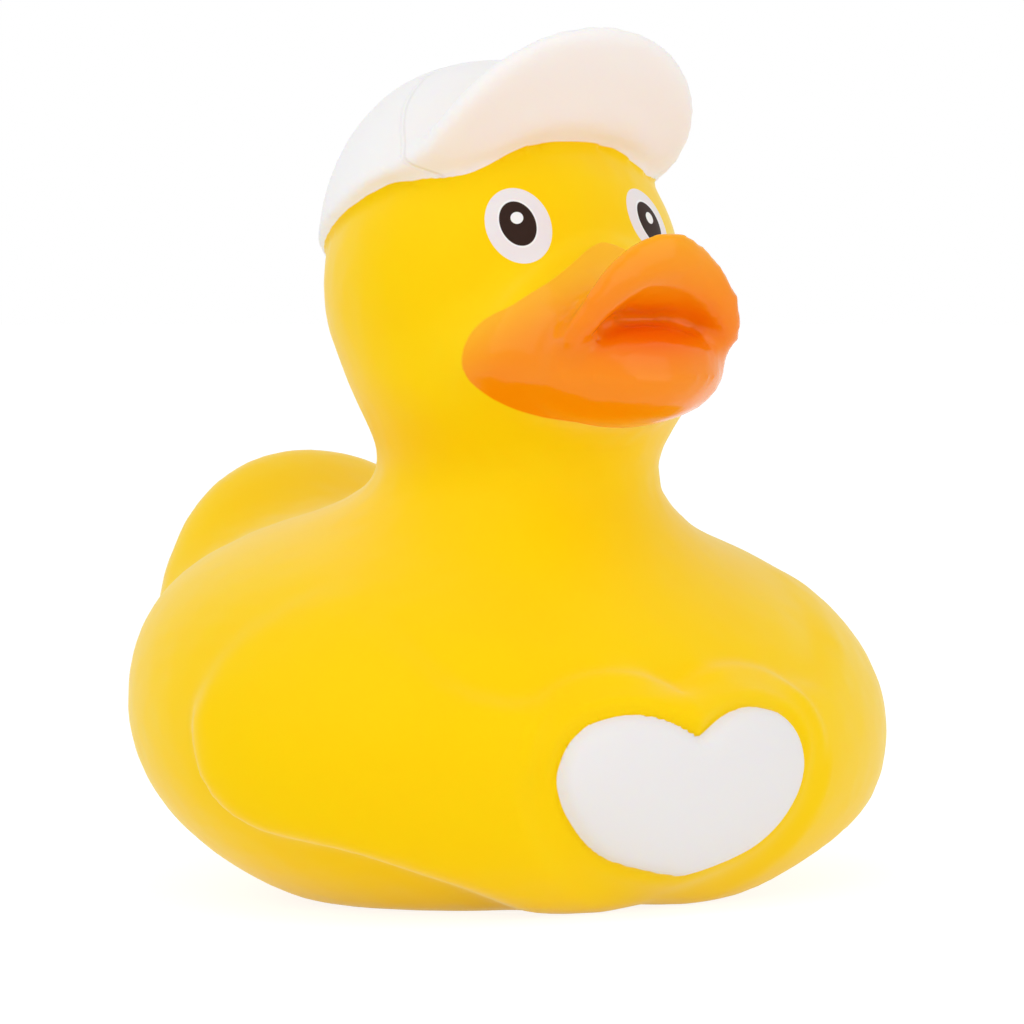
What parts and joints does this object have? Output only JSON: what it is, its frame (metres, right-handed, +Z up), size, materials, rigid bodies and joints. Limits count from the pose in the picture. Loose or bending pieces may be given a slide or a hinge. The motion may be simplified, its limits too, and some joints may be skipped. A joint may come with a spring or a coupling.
{
  "type": "rubber duck",
  "caption": "Hollow bath duck in a cap with its peak turned up, open bill, broad upturned tail, wings holding a raised heart on the chest, and a flat base.",
  "frame": {"origin": "on the surface the duck stands on, under the middle of its body", "axes": "+Z up, -Y the way the duck faces, +X to the duck's own left; the duck is the same on both sides of the YZ plane"},
  "size_m": [0.0869, 0.0807, 0.0919],
  "materials": {
    "vinyl": "soft satin moulded vinyl, yellow all through, with orange, white and black paint"
  },
  "bodies": {
    "root": {"duck": "vinyl"}
  },
  "joints": []
}
